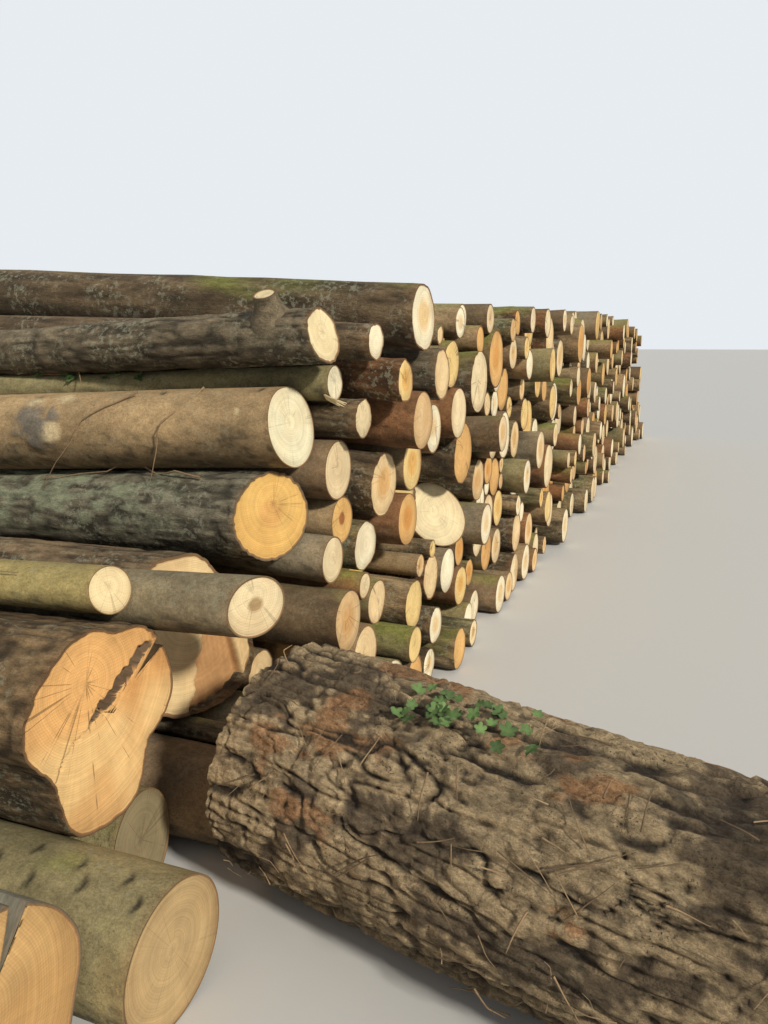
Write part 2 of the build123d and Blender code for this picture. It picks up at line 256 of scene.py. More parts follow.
class Piece:
    """Gathers surfaces into one mesh, each point with its place in the log and its colour."""

    def __init__(self, name):
        self.name = name
        self.count = 0
        self.points, self.grain, self.tone, self.quads, self.threes = [], [], [], [], []
        self.materials = []

    def points_added(self, points, grain, tone, cracked=0.0):
        first = self.count
        flat = points.reshape(-1, 3)
        self.points.append(flat)
        self.grain.append(np.broadcast_to(grain, points.shape).reshape(-1, 3))
        rgb = np.broadcast_to(tone, points.shape).reshape(-1, 3)
        self.tone.append(np.column_stack([rgb, np.full(len(rgb), cracked)]))
        self.count += len(flat)
        return first

    def sheet(self, points, grain, tone, material, cracked=0.0):
        """a grid of quads, closed in its second direction"""
        rows, columns = points.shape[:2]
        first = self.points_added(points, grain, tone, cracked)
        i, j = np.meshgrid(np.arange(rows - 1), np.arange(columns), indexing="ij")
        k = (j + 1) % columns
        corners = np.stack([i * columns + j, i * columns + k, (i + 1) * columns + k,
                            (i + 1) * columns + j], -1)
        self.quads.append((first + corners.reshape(-1, 4), self.slot(material)))
        return first + (rows - 1) * columns

    def fan(self, first, columns, centre, grain, tone, material, cracked=0.0):
        """closes the ring that starts at point number first"""
        hub = self.points_added(np.asarray(centre)[None], grain, tone, cracked)
        j = np.arange(columns)
        corners = np.stack([first + j, first + (j + 1) % columns, np.full(columns, hub)], -1)
        self.threes.append((corners, self.slot(material)))

    def slot(self, material):
        if material not in self.materials:
            self.materials.append(material)
        return self.materials.index(material)

    def made(self, finish=None, nodes=()):
        faces = [(f, 4, s) for f, s in self.quads] + [(f, 3, s) for f, s in self.threes]
        corners = np.concatenate([f.ravel() for f, _, _ in faces])
        sides = np.concatenate([np.full(len(f), n) for f, n, _ in faces])
        slots = np.concatenate([np.full(len(f), s) for f, _, s in faces])
        mesh = bpy.data.meshes.new(self.name)
        mesh.vertices.add(self.count)
        mesh.vertices.foreach_set("co", np.concatenate(self.points).ravel())
        mesh.loops.add(len(corners))
        mesh.loops.foreach_set("vertex_index", corners)
        mesh.polygons.add(len(sides))
        mesh.polygons.foreach_set("loop_start", np.concatenate([[0], np.cumsum(sides)[:-1]]))
        mesh.polygons.foreach_set("material_index", slots)
        mesh.polygons.foreach_set("use_smooth", np.ones(len(sides), bool))
        mesh.update(calc_edges=True)
        mesh.attributes.new("grain", "FLOAT_VECTOR", "POINT").data.foreach_set(
            "vector", np.concatenate(self.grain).ravel())
        tone = np.clip(np.concatenate(self.tone), 0, 1)
        mesh.attributes.new("tone", "FLOAT_COLOR", "POINT").data.foreach_set("color", tone.ravel())
        for material in self.materials:
            mesh.materials.append(bpy.data.materials[material])
        shape = bpy.data.objects.new(self.name, mesh)
        bpy.context.scene.collection.objects.link(shape)
        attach(shape, "root")
        if nodes:
            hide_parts(*nodes)
        return shape


# Materials


class Graph:
    """A material under construction."""

    def __init__(self, name, roughness):
        self.material = bpy.data.materials.new(name)
        self.material.use_nodes = True
        self.tree = self.material.node_tree
        self.tree.nodes.clear()
        self.surface = self.node("BsdfPrincipled", {"Roughness": roughness, "Specular IOR Level": 0.25})
        output = self.node("OutputMaterial")
        self.tree.links.new(self.surface.outputs[0], output.inputs["Surface"])
        self.grain = self.node("Attribute", attribute_name="grain").outputs["Vector"]
        tone = self.node("Attribute", attribute_name="tone")
        self.tone, self.cracked = tone.outputs["Color"], tone.outputs["Alpha"]

    def node(self, kind, inputs=None, **settings):
        made = self.tree.nodes.new("ShaderNode" + kind)
        for key, value in settings.items():
            setattr(made, key, value)
        for key, value in (inputs or {}).items():
            if isinstance(value, bpy.types.NodeSocket):
                self.tree.links.new(value, made.inputs[key])
            else:
                made.inputs[key].default_value = value
        return made

    def math(self, operation, a, b=0.0):
        return self.node("Math", {0: a, 1: b}, operation=operation).outputs[0]

    def scaled(self, vector, scale):
        return self.node("VectorMath", {0: vector, 1: scale}, operation="MULTIPLY").outputs[0]

    def noise(self, vector, scale, detail=4.0, roughness=0.6):
        return self.node("TexNoise", {"Vector": vector, "Scale": scale, "Detail": detail,
                                      "Roughness": roughness}).outputs["Fac"]

    def ramp(self, value, low, high, to_low=0.0, to_high=1.0):
        return self.node("MapRange", {"Value": value, "From Min": low, "From Max": high,
                                      "To Min": to_low, "To Max": to_high}).outputs[0]

    def mixed(self, share, a, b):
        return self.node("Mix", {0: share, 6: a, 7: b}, data_type="RGBA").outputs[2]

    def shaded(self, colour, value):
        """colour times a value"""
        return self.node("VectorMath", {0: colour, 3: value}, operation="SCALE").outputs[0]

    def finish(self, colour, height, strength, distance):
        bump = self.node("Bump", {"Height": height, "Strength": strength, "Distance": distance})
        self.tree.links.new(colour, self.surface.inputs["Base Color"])
        self.tree.links.new(bump.outputs[0], self.surface.inputs["Normal"])


def sawn_end_material():
    """growth rings about the pith, drying cracks that run out from it, and the saw's marks"""
    g = Graph("sawn_end", 0.82)
    flat = g.scaled(g.grain, (0, 1, 1))
    wander = g.ramp(g.noise(g.grain, 7, 2), 0, 1, -0.012, 0.012)
    out = g.math("ADD", g.node("VectorMath", {0: flat}, operation="LENGTH").outputs["Value"], wander)
    ring = g.math("SINE", g.math("MULTIPLY", out, 2 * math.pi / RING_SPACING))
    band = g.noise(g.node("CombineXYZ", {"X": out}).outputs[0], 75, 3)
    unit = g.node("VectorMath", {0: flat}, operation="NORMALIZE").outputs[0]
    spoke = g.node("VectorMath", {0: unit, 1: g.scaled(g.grain, (3, 0, 0))}, operation="ADD").outputs[0]
    near = g.math("ABSOLUTE", g.math("SUBTRACT", g.noise(spoke, 2.1, 1.5), 0.5))
    crack = g.ramp(g.math("MULTIPLY", near, out), 0.0003, 0.0011, 1.0, 0.0)
    crack = g.math("MULTIPLY", crack, g.ramp(g.noise(g.grain, 11, 1), 0.46, 0.56))
    crack = g.math("MULTIPLY", crack, g.cracked)
    ray = g.noise(g.scaled(spoke, (1, 26, 26)), 1.5, 3)
    kerf = g.node("TexWave", {"Vector": g.scaled(g.grain, (1, 0.35, 1)), "Scale": 38, "Distortion": 3,
                              "Detail": 2}, bands_direction="Z").outputs["Fac"]
    stain = g.noise(g.grain, 14, 5)
    shade = g.math("MULTIPLY", g.ramp(ring, -1, 1, 0.94, 1.03), g.ramp(band, 0.3, 0.7, 0.84, 1.1))
    shade = g.math("MULTIPLY", shade, g.ramp(stain, 0.25, 0.75, 0.85, 1.12))
    shade = g.math("MULTIPLY", shade, g.ramp(ray, 0.3, 0.7, 0.95, 1.04))
    colour = g.mixed(g.math("MULTIPLY", crack, 0.8), g.shaded(g.tone, shade), (*CRACK, 1))
    height = g.math("ADD", g.math("MULTIPLY", kerf, 0.5), g.math("MULTIPLY", band, 0.5))
    g.finish(colour, g.math("SUBTRACT", height, g.math("MULTIPLY", crack, 2.0)), 0.5, 0.0012)


def bark_material(name, stretch, scale, strength, distance, crust=0.0, low=0.7, high=1.25, specks=0.5):
    """tone broken up by noise drawn out along the stem, with dark specks and crusts of lichen"""
    g = Graph(name, 0.9)
    drawn = g.scaled(g.grain, (stretch, 1, 1))
    broad = g.noise(drawn, scale, 6, 0.68)
    fine = g.noise(drawn, scale * 4.5, 5, 0.75)
    crumb = g.noise(g.grain, 230, 3, 0.7)
    shade = g.math("MULTIPLY", g.ramp(broad, 0.3, 0.7, low, high), g.ramp(fine, 0.32, 0.68, 0.72, 1.25))
    shade = g.math("MULTIPLY", shade, g.ramp(crumb, 0.35, 0.65, 0.86, 1.12))
    colour = g.shaded(g.tone, shade)
    speck = g.math("MULTIPLY", g.ramp(g.noise(g.grain, 150, 2), 0.60, 0.68),
                   g.ramp(g.noise(g.grain, 9, 4), 0.45, 0.6))
    colour = g.mixed(g.math("MULTIPLY", speck, specks), colour, (*DARK, 1))
    if crust:
        patch = g.math("MULTIPLY", g.ramp(g.noise(g.grain, 42, 8, 0.72), 0.52, 0.57),
                       g.ramp(g.noise(g.grain, 5, 3), 0.42, 0.58))
        colour = g.mixed(g.math("MULTIPLY", patch, crust), colour, (*LICHEN, 1))
    height = g.math("ADD", broad, g.math("MULTIPLY", fine, 0.5))
    height = g.math("ADD", height, g.math("MULTIPLY", crumb, 0.12))
    g.finish(colour, height, strength, distance)


def plain_material(name, scale, roughness):
    g = Graph(name, roughness)
    n = g.noise(g.grain, scale, 4)
    g.finish(g.shaded(g.tone, g.ramp(n, 0.3, 0.7, 0.75, 1.2)), n, 0.4, 0.001)


sawn_end_material()
bark_material("smooth_bark", 0.8, 26, 0.45, 0.003, crust=0.2, low=0.72, high=1.22)
bark_material("rough_bark", 0.4, 40, 1.0, 0.008, crust=0.45, low=0.5, high=1.4)
bark_material("mossy_bark", 0.8, 50, 0.9, 0.006, low=0.6, high=1.35)
bark_material("oak_bark", 0.6, 74, 1.0, 0.014, crust=0.1, low=0.42, high=1.5, specks=0.9)
plain_material("torn_wood", 90, 0.9)
plain_material("leaf", 30, 0.6)


# What each log looks like


@dataclass
class Look:
    bark: str = "smooth"            # smooth, rough, mossy or oak
    skin: tuple = BROWN
    wood: tuple = CREAM
    heart: tuple = HEART
    heart_share: float = 0.0        # how far the darker heart reaches
    pith: tuple = (0.0, 0.0)        # where the rings begin, as shares of the radius
    moss: float = 0.0
    grime: float = 0.25
    cracked: float = 0.35           # how strongly the sawn end has checked in drying
    stain: float = 0.25             # how much of it the weather has browned
    lower: tuple = ()               # colour of the lower part of the end, where it differs
    scars: int = 0                  # eye-shaped branch scars in smooth bark
    knots: tuple = ()               # metres behind the end, degrees round, size, how proud, colour
    crust: float = 0.0              # pale lichen away from the sawn end
    dents: tuple = ()               # degrees round, depth, degrees wide, how far back they fade
    rind: float = 0.006             # thickness of bark that the sawn end shows
    relief: str = ""                # of the end: "felled", a torn step, or "seam", two stems grown together
    around: int = 76
    lengthwise: int = 48
    rings: int = 14


NAMED = {
    "fork_butt_log": Look(skin=GREY, wood=(0.56, 0.34, 0.135), pith=(-0.35, 0.1), cracked=0.2,
                          dents=((62, 0.19, 5, 0.3), (-20, 0.03, 40, 1)), rind=0.008, rings=30, around=120),
    "smooth_beech_log": Look(skin=(0.25, 0.205, 0.10), wood=(0.50, 0.345, 0.165), scars=26, moss=0.3,
                             rings=20, around=120, lengthwise=200, cracked=0.2),
    "dark_green_log": Look(bark="mossy", skin=OLIVE, wood=(0.30, 0.24, 0.13), moss=0.3),
    "slab_end_log": Look(skin=BROWN, wood=(0.45, 0.32, 0.18)),
    "seamed_butt_log": Look(bark="rough", lengthwise=90, skin=(0.21, 0.135, 0.065), stain=0.4,
                            wood=SALMON, lower=(0.88, 0.58, 0.25), cracked=0.7,
                            pith=(-0.22, 0.42), rind=0.009, rings=56, around=180, relief="seam",
                            dents=((33, 0.25, 4, 0.4), (-152, 0.075, 42, 2), (-38, 0.085, 40, 2),
                                   (185, 0.03, 30, 2), (75, 0.03, 26, 2))),
    "cream_butt_log": Look(bark="rough", skin=(0.26, 0.18, 0.10), wood=(0.78, 0.57, 0.29), rind=0.012,
                           pith=(0.05, 0.1), rings=56, around=180, cracked=0.1, relief="felled",
                           dents=((178, 0.05, 46, 1), (2, 0.07, 50, 1), (52, 0.05, 26, 0.8),
                                  (128, 0.04, 26, 0.8))),
    "green_log": Look(skin=(0.40, 0.31, 0.12), wood=(0.80, 0.63, 0.35), moss=0.2, grime=0.1, rind=0.003),
    "lichen_log": Look(bark="rough", skin=(0.19, 0.165, 0.11), crust=0.75, around=130, lengthwise=110,
                       wood=(0.78, 0.48, 0.15), heart=(0.72, 0.40, 0.13), heart_share=0.3,
                       pith=(0.1, 0.15), rind=0.010),
    "bent_log": Look(skin=(0.37, 0.25, 0.125), wood=(0.86, 0.78, 0.52), scars=8, rind=0.004,
                     around=120, lengthwise=110,
                     knots=((0.98, 166, 0.13, 0.018, (0.17, 0.15, 0.12)), (1.02, 128, 0.05, 0.002, BLOTCH),
                            (0.88, 122, 0.045, 0.002, BLOTCH), (0.90, 178, 0.05, 0.006, BLOTCH),
                            (0.12, 152, 0.02, 0.002, BLOTCH))),
    "torn_end_log": Look(skin=OLIVE, wood=PALE, moss=0.15, rind=0.004),
    "branch_stub_log": Look(bark="rough", around=120, lengthwise=100, skin=(0.20, 0.155, 0.095),
                            wood=(0.82, 0.68, 0.40), rind=0.008),
    "lens_end_log": Look(bark="rough", skin=BROWN, wood=(0.82, 0.71, 0.45), rind=0.006),
    "shadowed_end_log": Look(skin=BROWN, wood=CREAM),
    "orange_heart_log": Look(skin=TAN, wood=(0.76, 0.46, 0.16), heart=(0.34, 0.12, 0.04), heart_share=0.22,
                             pith=(0.1, 0.15)),
    "grey_log": Look(skin=(0.27, 0.22, 0.14), wood=CREAM),
    "yellow_end_log": Look(bark="rough", skin=BROWN, wood=(0.82, 0.58, 0.20), heart=ORANGE, heart_share=0.3),
    "pale_knot_log": Look(skin=(0.24, 0.19, 0.11), wood=(0.76, 0.61, 0.36), heart=(0.40, 0.27, 0.13),
                          heart_share=0.14, pith=(0.0, 0.25)),
    "mossy_wedge_log": Look(bark="rough", skin=(0.12, 0.11, 0.06), wood=(0.66, 0.49, 0.22), moss=0.5,
                            rind=0.014, around=120),
    "plank_end_log": Look(skin=TAN, wood=(0.78, 0.64, 0.38)),
    "bright_mossy_log": Look(bark="mossy", skin=OLIVE, wood=YELLOW, moss=0.75, rind=0.003),
    "foreground_oak_log": Look(bark="oak", skin=OAK_PLATE, wood=ORANGE, heart_share=0.6, rind=0.025,
                               moss=0.05, around=320, lengthwise=270, rings=6),
}
SKINS = [BROWN, TAN, OLIVE, (0.24, 0.19, 0.12), RUST, (0.30, 0.22, 0.12), (0.16, 0.11, 0.06)]
WOODS = [CREAM, PALE, YELLOW, ORANGE, CREAM, PALE, (0.78, 0.57, 0.30)]


def ordinary(bay, size):
    """a look for a log of the bays, drawn by lot; size is its radius"""
    wood = WOODS[chance.integers(len(WOODS))]
    lobes = tuple((chance.uniform(0, 360), size * chance.uniform(0.02, 0.09), chance.uniform(45, 80), 6)
                  for _ in range(3))
    return Look(bark=chance.choice(["smooth", "smooth", "rough", "rough", "mossy"]),
                skin=SKINS[chance.integers(len(SKINS))], wood=wood,
                heart=(0.88 * wood[0], 0.70 * wood[1], 0.50 * wood[2]),
                heart_share=chance.choice([0, 0, 0.3, 0.5]),
                moss=chance.choice([0, 0.2, 0.5, 0.75]), cracked=chance.choice([0, 0.3, 0.7]),
                stain=chance.choice([0.1, 0.3, 0.6]), pith=tuple(chance.uniform(-0.25, 0.25, 2)),
                rind=chance.uniform(0.003, 0.009), grime=chance.uniform(0.1, 0.6), dents=lobes,
                **(NEAR_MESH if bay <= NEAR_BAYS else FAR_MESH))


# Building a log


def furrows(kind, place, radius, seed):
    """how deep the bark is cut at a place on the stem, and the share of its greatest depth"""
    x, y, z = np.moveaxis(place, -1, 0)

    def at(along, round_):
        return np.stack([x * along, y * round_, z * round_], -1)

    if kind == "oak":
        bend = 1.1 * noise(at(4, 7), seed) + 0.45 * noise(at(14, 24), seed + 1)
        net = ramp(ridges(at(5, 34) + bend[..., None], seed + 2), 0.62, 0.97)
        fissure = ramp(ridges(at(2.2, 13) + 1.6 * bend[..., None], seed + 6), 0.80, 0.99)
        cross = ramp(ridges(at(17, 15) + bend[..., None], seed + 3), 0.80, 0.99)
        crumble = fractal(at(60, 75), seed + 4, 2)
        depth = np.clip(0.45 * net + 0.5 * fissure + 0.3 * cross + 0.4 * (crumble - 0.35), 0, 1)
        return OAK_FURROWS * depth + OAK_SWELL * fractal(at(2, 3), seed + 5, 2), depth
    if kind == "rough":
        bend = 0.8 * noise(at(4, 7), seed)
        net = ramp(ridges(at(7, 34) + bend[..., None], seed + 2), 0.5, 0.98)
        cross = ramp(ridges(at(22, 17) + bend[..., None], seed + 3), 0.72, 0.98)
        depth = np.clip(0.55 * net + 0.35 * cross + 0.3 * noise(at(40, 70), seed + 4), 0, 1)
        return ROUGH_FURROWS * depth + ROUGH_SWELL * noise(at(3, 6), seed + 5), depth
    waves = fractal(at(3, 8), seed, 3)
    return SMOOTH_SWELL * waves, 0.35 * noise(at(10, 30), seed + 1)


def dented(look, angle, behind):
    """how far the outline of the stem falls inside a circle"""
    depth = 0
    for degrees, deep, wide, fade in look.dents:
        off = np.degrees(np.angle(np.exp(1j * (angle - math.radians(degrees)))))
        shape = np.clip(1 - np.abs(off) / wide, 0, 1)
        shape = shape if wide < NOTCH else shape * shape * (3 - 2 * shape)
        depth = depth + deep * shape * np.exp(-behind / fade)
    return depth


def scarred(look, stem, angle, x, seed):
    """brow-shaped branch scars in two rows along the stem: 1 in the middle of one"""
    marks = np.zeros(np.broadcast(angle, x).shape)
    lot = np.random.default_rng(seed)
    for i in range(look.scars):
        at_x = stem.x_back + stem.length * (0.995 - 0.62 * (i + lot.uniform(0, 0.5)) / look.scars)
        at_angle = math.radians(lot.normal((112, 84)[i % 2], 4))
        off = np.angle(np.exp(1j * (angle - at_angle))) * stem.radius(x)
        bow = 0.35 * np.abs(off)
        size = lot.uniform(0.6, 1.3)
        away = ((x - at_x + bow) / SCAR_LENGTH) ** 2 + (off / (SCAR_WIDTH * size)) ** 2
        marks = np.maximum(marks, np.exp(-away ** 1.5))
    return marks


def knot_shape(stem, angle, behind, back, degrees, size, seed):
    """1 in the middle of a blotch or burl of ragged outline, 0 outside it"""
    radius = stem.radius(stem.x_back + stem.length - back)
    off = np.angle(np.exp(1j * (angle - math.radians(degrees)))) * radius
    far = np.hypot(behind - back, off) / size
    ragged = noise(np.stack([behind * 30, off * 30 + 0 * behind, 0 * behind], -1), seed + 41) - 0.5
    return np.clip(1 - far + 0.7 * ragged * (far < 1.3), 0, 1)


def bark_tone(look, stem, place, angle, depth, marks, behind, seed):
    skin = np.asarray(look.skin)
    # painted light and shade: the skin a little lighter where the bark stands out, and painted shade down to
    # about a quarter of it where it is cut deepest
    tone = blend(skin * 1.12, skin * 0.28, ramp(depth, 0.25, 0.95))
    patch = fractal(place * (3, 7, 7), seed + 11, 3)
    tone = tone * (0.58 + 0.84 * patch)[..., None]
    up = np.sin(angle)
    if look.bark == "oak":
        # oak plates, darkened by painted shade down into the furrows
        tone = blend(OAK_PLATE, OAK_FURROW_SHADE, ramp(depth, 0.3, 0.9)) * (0.75 + 0.5 * patch)[..., None]
        frayed = 0.25 * noise(place * 50, seed + 17)
        rags = ramp(fractal(place * (5, 6, 6), seed + 16, 3) + frayed, 0.66, 0.76)
        tone = blend(tone, BARK_RAGS, 0.8 * rags)
        peeled = fractal(place * (6, 9, 9), seed + 12, 4) + 0.12 * up
        bare = ramp(peeled, 0.74, 0.80) * ramp(depth, 0.9, 0.5)
        tone = blend(tone, BARE_BARK, 0.8 * bare)
    green = 0.5 * up + 1.3 * fractal(place * (5, 9, 9), seed + 13, 3)
    growth = ramp(green, 1.5 - look.moss, 2.0 - look.moss)
    tone = blend(tone, MOSS, 0.8 * growth * min(1, 2 * look.moss))
    # painted shade on the underside: the stem darker towards its bottom; below it is blended in together with
    # real grime in patches
    under = ramp(-up, -0.1, 0.9)
    dirt = ramp(fractal(place * (6, 10, 10), seed + 14), 0.55, 0.75)
    tone = blend(tone, DARK, 0.55 * under + look.grime * dirt)
    tone = blend(tone, DARK, 0.95 * marks)
    splash = ramp(fractal(place * (34, 50, 50), seed + 18, 2), 0.55, 0.66) * ramp(-up, -0.35, 0.35)
    tone = blend(tone, DARK, 0.6 * splash)
    if look.crust:
        crust = ramp(fractal(place * (14, 20, 20), seed + 19, 3), 0.46, 0.58) * ramp(behind, 0.1, 0.6)
        tone = blend(tone, CRUST, look.crust * crust * ramp(up, -0.6, 0.1))
    for back, degrees, size, _, colour in look.knots:
        inside = knot_shape(stem, angle, behind, back, degrees, size, seed)
        tone = blend(tone, colour, 0.85 * ramp(inside, 0.25, 0.5))
    return blend(tone, INNER_BARK, 0.5 * ramp(behind, 0.03, 0.0) * noise(place * 40, seed + 15))


def wood_tone(look, out, place, radius, seed):
    """colour of a sawn end; out is the distance from the pith as a share, 1 at the bark"""
    wander = 0.16 * (noise(place * 9, seed + 21) - 0.5)
    tone = np.asarray(look.wood) * (0.86 + 0.28 * fractal(place * 10, seed + 22))[..., None]
    if look.lower:
        below = (out * 0 + place[..., 2].mean() - place[..., 2]) / radius
        tone = blend(tone, look.lower, ramp(below + 0.8 * wander, -0.15, 0.25))
    if look.heart_share:
        tone = blend(tone, look.heart, ramp(out + wander, look.heart_share + 0.12, look.heart_share))
    stained = look.stain * ramp(fractal(place * (7, 7, 5), seed + 23, 4), 0.42, 0.66)
    tone = blend(tone, np.asarray(look.wood) * (0.72, 0.55, 0.42), stained)
    return tone * (1 - 0.15 * ramp(out, 0.75, 0.97))[..., None]


def add_end(piece, to_row, look, rim, outward, seed, rings, relief=None):
    """a sawn end inside the given rim of bark: rind, then wood in to the middle"""
    outward = np.asarray(outward, float)
    level = np.cross(outward, (1, 0, 0) if abs(outward[2]) > 0.5 else (0, 0, -1))
    level /= np.linalg.norm(level)
    upright = np.cross(outward, level)
    middle = rim.mean(0)
    radius = np.linalg.norm(rim - middle, axis=1).mean()
    pith = middle + radius * (look.pith[0] * level + look.pith[1] * upright)
    shares = np.concatenate([[1.0, 1 - 0.9 * look.rind / radius, 1 - look.rind / radius],
                             np.linspace(1 - 1.6 * look.rind / radius, 0.04, rings)])[:, None]
    place = middle + shares[..., None] * (rim - middle)
    sunk = SAW_MARKS * (fractal(place * 12, seed + 31) - 0.5) * ramp(1 - shares, 0, 0.1)
    sunk = sunk + SAW_MARKS * (np.abs(shares - 1 + look.rind / radius) < 1e-6)
    if relief:
        sunk = sunk + relief((place - middle) @ level, (place - middle) @ upright, radius)
    place = place - sunk[..., None] * outward
    tone = wood_tone(look, shares + 0 * place[..., 0], place, radius, seed)
    # the seam and its walls darkened by how deep they are sunk: the seam's included bark, and painted shade
    # in the hollow
    if look.relief == "seam":
        near = np.maximum(np.roll(sunk, 1, axis=1), np.roll(sunk, -1, axis=1))
        near[1:-1] = np.maximum(near[1:-1], np.maximum(sunk[2:], sunk[:-2]))
        tone = blend(tone, SEAM_BARK_AND_SHADE, 0.9 * ramp(np.maximum(sunk, near), 0.004, 0.012))
    else:
        tone = blend(tone, TORN, 0.85 * ramp(sunk, 0.022, 0.04))
    tone[0] = np.asarray(look.skin) * 0.5
    tone[1] = INNER_BARK
    odd = seed % 89 * 0.37
    from_pith = place - pith
    grain = np.stack([odd + 0 * place[..., 0], from_pith @ level, from_pith @ upright], -1)
    turned = np.cross(rim[1] - middle, rim[0] - middle) @ outward > 0
    order = slice(None, None, -1) if turned else slice(None)
    last = piece.sheet(to_row(place)[:, order], grain[:, order], tone[:, order], "sawn_end",
                       cracked=look.cracked)
    hub = middle - sunk[-1].mean() * outward
    piece.fan(last, len(rim), to_row(hub[None])[0], grain[-1].mean(0), tone[-1].mean(0), "sawn_end",
              look.cracked)


def felling_step(across, up, radius):
    """how deep a sawn end is sunk low on its far side, where the hinge tore out"""
    ragged = 0.010 * np.sin(61 * up) * np.sin(23 * up + 1)
    left, top = 0.26 * radius + 0.3 * (up + 0.12 * radius), -0.10 * radius
    inside = ramp(across - left + ragged, 0, 0.012) * ramp(top - up, 0, 0.012)
    lobe = ramp(across - 0.62 * radius + 0.2 * up, 0, 0.02)
    return inside * (FELLED_DEPTH - LOBE_RISE * lobe) + 0.004 * inside * np.sin(170 * across + 9 * up)


def grown_seam(across, up, radius):
    """the hollow between two stems grown together, running in from the notch in the outline"""
    run = ramp(across, -0.07, 0.02) * (1 - ramp(across, 0.13, 0.22))
    ragged = 0.006 * np.sin(70 * across) + 0.004 * np.sin(190 * across + 1)
    off = np.abs(up - 0.02 - 0.55 * across + ragged)
    width = 0.004 + 0.019 * run
    line = (1 - ramp(off, 0.6 * width, width)) * ramp(across, -0.19, -0.15) * (1 - ramp(across, 0.2, 0.27))
    return line * (SEAM_DEPTH + SEAM_DEPTH_INSIDE * run)


RELIEFS = {"felled": felling_step, "seam": grown_seam}


def add_log(piece, stem, look, seed):
    """bark and both ends; the mesh is finest on top, towards the camera, and by the end that it sees"""
    oak = look.bark == "oak"
    focus = math.radians(144 if oak else 110)
    phase = np.arange(look.around) / look.around * 2 * math.pi
    angle = phase - (0.55 if oak else 0.25) * np.sin(phase - focus)
    narrow = [math.radians(d) + math.radians(w) * np.linspace(-1, 1, 11)
              for d, _, w, _ in look.dents if w < NOTCH]
    angle = np.sort(np.mod(np.concatenate([angle, *narrow]), 2 * math.pi))
    angle = angle[np.append(np.diff(angle) > 1e-4, True)]
    step = np.linspace(0, 1, look.lengthwise + 1)
    share = (step ** 1.7 if oak else 1 - (1 - step) ** 1.5)[:, None]
    place = stem.point(share, angle[None])
    x = place[..., 0]
    behind = stem.point(np.ones_like(share), angle[None])[..., 0] - x
    around = place - np.concatenate([0 * x[..., None], stem.axis(x)], -1)
    cut, depth = furrows(look.bark, around, stem.radius(x), seed)
    marks = scarred(look, stem, angle[None], x, seed)
    cut = cut + dented(look, angle[None], behind) + SCAR_DEPTH * marks
    for back, degrees, size, lift, _ in look.knots:
        cut = cut - lift * ramp(knot_shape(stem, angle[None], behind, back, degrees, size, seed), 0, 0.8)
    proud = BARK_STANDS_OUT - cut
    direction = np.stack([0 * angle, np.cos(angle), np.sin(angle)], -1)
    place = place + proud[..., None] * direction
    place[..., 0] += share * (stem.front(place[..., 1], place[..., 2]) - x - behind)
    tone = bark_tone(look, stem, around, angle[None] + 0 * x, depth, marks, behind, seed)
    grain = around + np.array([seed % 97 * 0.71, 0, 0])
    piece.sheet(stem.placed(place), grain, tone, look.bark + "_bark")
    face = np.array([1, -stem.cut[1], -stem.cut[2]]) / math.hypot(1, *stem.cut[1:])
    add_end(piece, stem.placed, look, place[-1], face, seed, look.rings, RELIEFS.get(look.relief))
    add_end(piece, stem.placed, look, place[0], (-1, 0, 0), seed + 1, BACK_RINGS)


def add_stub(piece, stem, look, behind, degrees, radius, reach, seed):
    """a sawn branch stub standing out of the swollen collar at its foot"""
    turn = math.radians(degrees)
    out = np.array([0, math.cos(turn), math.sin(turn)])
    side = np.cross(out, (1, 0, 0))
    x = stem.x_back + stem.length - behind
    foot = np.array([x, *stem.axis(x)])
    bark = stem.radius(x)
    heights = bark + reach * np.array([-0.9, -0.35, -0.08, 0.15, 0.4, 0.7, 0.9, 1.0])[:, None]
    widths = radius * np.array([2.1, 1.75, 1.5, 1.28, 1.12, 1.03, 1.0, 0.98])[:, None]
    angle = np.linspace(0, 2 * math.pi, 40, endpoint=False)[None]
    ring = np.cos(angle)[..., None] * (1, 0, 0) + np.sin(angle)[..., None] * side
    place = foot + heights[..., None] * out + widths[..., None] * ring
    rough = fractal(place * 45, seed)
    place = place + (0.006 * (rough - 0.5))[..., None] * ring
    tone = np.asarray(look.skin) * (0.6 + 0.7 * rough)[..., None]
    piece.sheet(stem.placed(place), place * 0.9, tone, look.bark + "_bark")
    add_end(piece, stem.placed, look, place[-1], out, seed, 8)


def add_tube(piece, route, thickness, tone, material, seed, sides=6):
    """a twig along a route, thinning to its tip, never quite straight"""
    route = np.asarray(route, float)
    share = np.linspace(0, 1, 4 * len(route))
    knots = np.linspace(0, 1, len(route))
    line = np.stack([np.interp(share, knots, route[:, i]) for i in range(3)], -1)
    wander = np.stack([noise(line * 9, seed + i) - 0.5 for i in range(3)], -1)
    span = np.linalg.norm(route[-1] - route[0])
    line = line + 0.10 * span * wander * np.sin(math.pi * share)[:, None]
    along = np.gradient(line, axis=0)
    along /= np.linalg.norm(along, axis=1)[:, None]
    first = np.cross(along, (0.13, 0.21, 0.97))
    first /= np.linalg.norm(first, axis=1)[:, None]
    second = np.cross(along, first)
    angle = np.arange(sides) / sides * 2 * math.pi
    ring = np.cos(angle)[:, None] * first[:, None] + np.sin(angle)[:, None] * second[:, None]
    width = thickness * (1 - 0.7 * share)[:, None, None]
    piece.sheet(line[:, None] + width * ring, line[:, None] + width * ring, tone, material)


